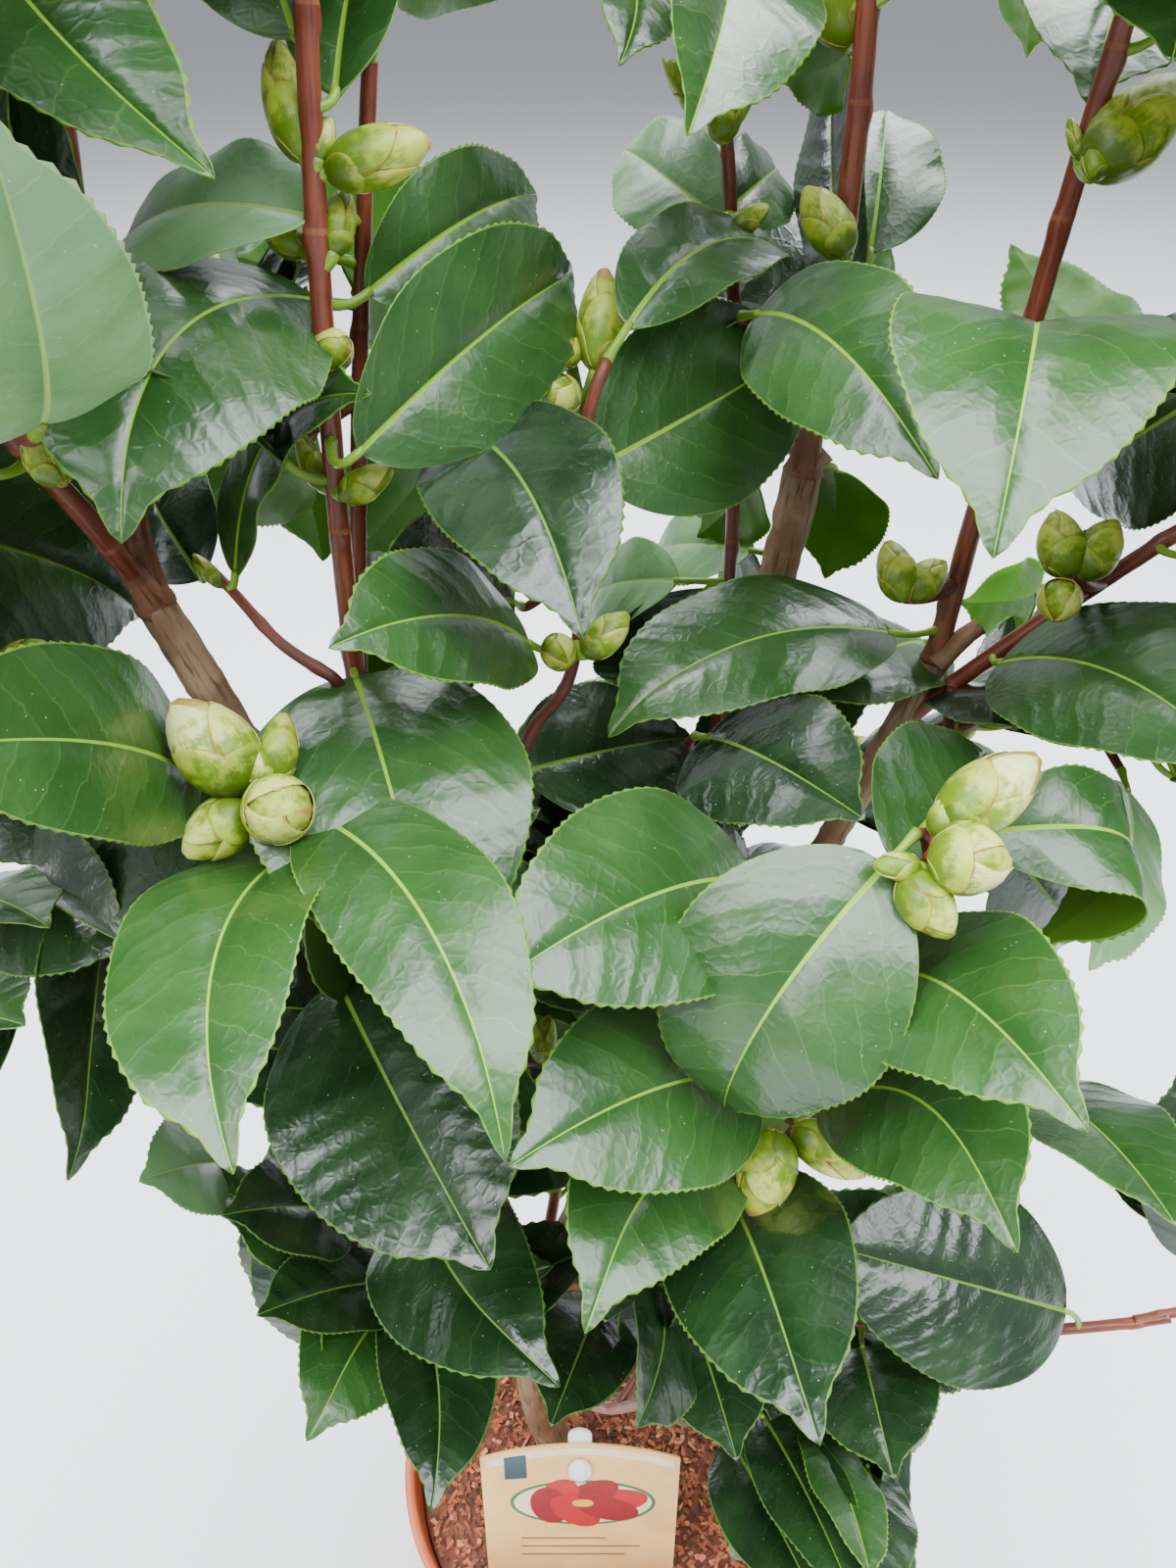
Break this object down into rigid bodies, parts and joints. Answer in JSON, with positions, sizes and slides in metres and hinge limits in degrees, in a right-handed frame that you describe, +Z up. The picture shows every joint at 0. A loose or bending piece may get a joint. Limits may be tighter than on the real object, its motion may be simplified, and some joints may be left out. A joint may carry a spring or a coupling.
{
  "type": "camellia shrub in pot",
  "caption": "Young evergreen camellia shrub with glossy leaves and fat winter buds, growing in a round tapered nursery pot of bark compost with a plant label.",
  "frame": {"origin": "centre of the pot's flat underside", "axes": "+Z up along the plant, -Y towards the front of the plant, where the label stands, +X to the right"},
  "size_m": [0.4123, 0.2854, 0.7529],
  "materials": {
    "pot": "satin terracotta-coloured plastic",
    "compost": "rough, damp composted bark and fibre",
    "bark": "fissured grey-brown bark",
    "young_bark": "smooth red-brown young bark",
    "foliage": "glossy dark green leaves",
    "card": "matt tan card",
    "stake": "smooth white plastic"
  },
  "bodies": {
    "root": {"pot": "pot", "compost": "compost", "label_card": "card", "label_stake": "stake", "trunk": "bark", "stem_left": "bark", "stem_centre": "bark", "stem_right": "bark", "shoot_red": "young_bark", "shoot_red_back": "young_bark", "shoot_far_left": "young_bark", "shoot_left_top": "young_bark", "shoot_centre_top": "young_bark", "shoot_thin": "young_bark", "shoot_right_top": "young_bark", "shoot_right_out": "young_bark", "shoot_bud_left": "young_bark", "shoot_bud_right": "young_bark", "shoot_bud_front": "young_bark", "shoot_left_out": "young_bark", "shoot_low_right": "young_bark", "shoot_skirt_left": "young_bark", "shoot_skirt_front": "young_bark", "shoot_skirt_right": "young_bark", "shoot_back_left": "young_bark", "shoot_back_right": "young_bark", "shoot_back_low": "young_bark", "leaves_top_far_left": "foliage", "leaves_top_left": "foliage", "leaves_top_red": "foliage", "leaves_top_thin": "foliage", "leaves_top_centre": "foliage", "leaves_top_right": "foliage", "leaves_left_upper": "foliage", "leaves_left_shoulder": "foliage", "leaves_middle_left": "foliage", "leaves_middle_right": "foliage", "leaves_right_upper": "foliage", "leaves_right_edge": "foliage", "leaves_centre": "foliage", "leaves_bud_left": "foliage", "leaves_bud_right": "foliage", "leaves_front_middle": "foliage", "leaves_left_low": "foliage", "leaves_front_left": "foliage", "leaves_inner": "foliage", "leaves_right_middle": "foliage", "leaves_bud_front": "foliage", "leaves_low_right": "foliage", "leaves_skirt_left": "foliage", "leaves_skirt_front": "foliage", "leaves_skirt_right": "foliage", "leaves_skirt_back": "foliage", "leaves_back_low": "foliage", "leaves_back_left": "foliage", "leaves_back_left_high": "foliage", "leaves_back_right": "foliage", "leaves_back_right_high": "foliage"}
  },
  "joints": []
}
